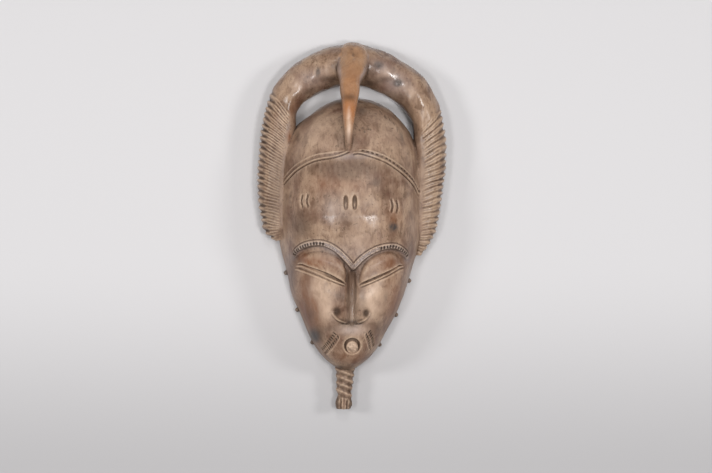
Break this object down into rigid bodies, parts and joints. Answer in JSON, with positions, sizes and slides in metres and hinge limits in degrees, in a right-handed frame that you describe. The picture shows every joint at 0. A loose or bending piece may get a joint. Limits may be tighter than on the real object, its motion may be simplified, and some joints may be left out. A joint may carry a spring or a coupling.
{
  "type": "mask",
  "caption": "Carved wooden face mask with closed eyes, a ribbed beard and a crest of ridged horns under a long beak.",
  "frame": {"origin": "under the middle of the mask's overall box, on the surface that its back rim lies on", "axes": "+X the viewer's right across the face, +Y along the mask from the beard to the crest, +Z out of the face"},
  "size_m": [0.1964, 0.3794, 0.0791],
  "materials": {
    "carved_wood": "satin, worn and patinated"
  },
  "bodies": {
    "root": {"mask": "carved_wood"}
  },
  "joints": []
}
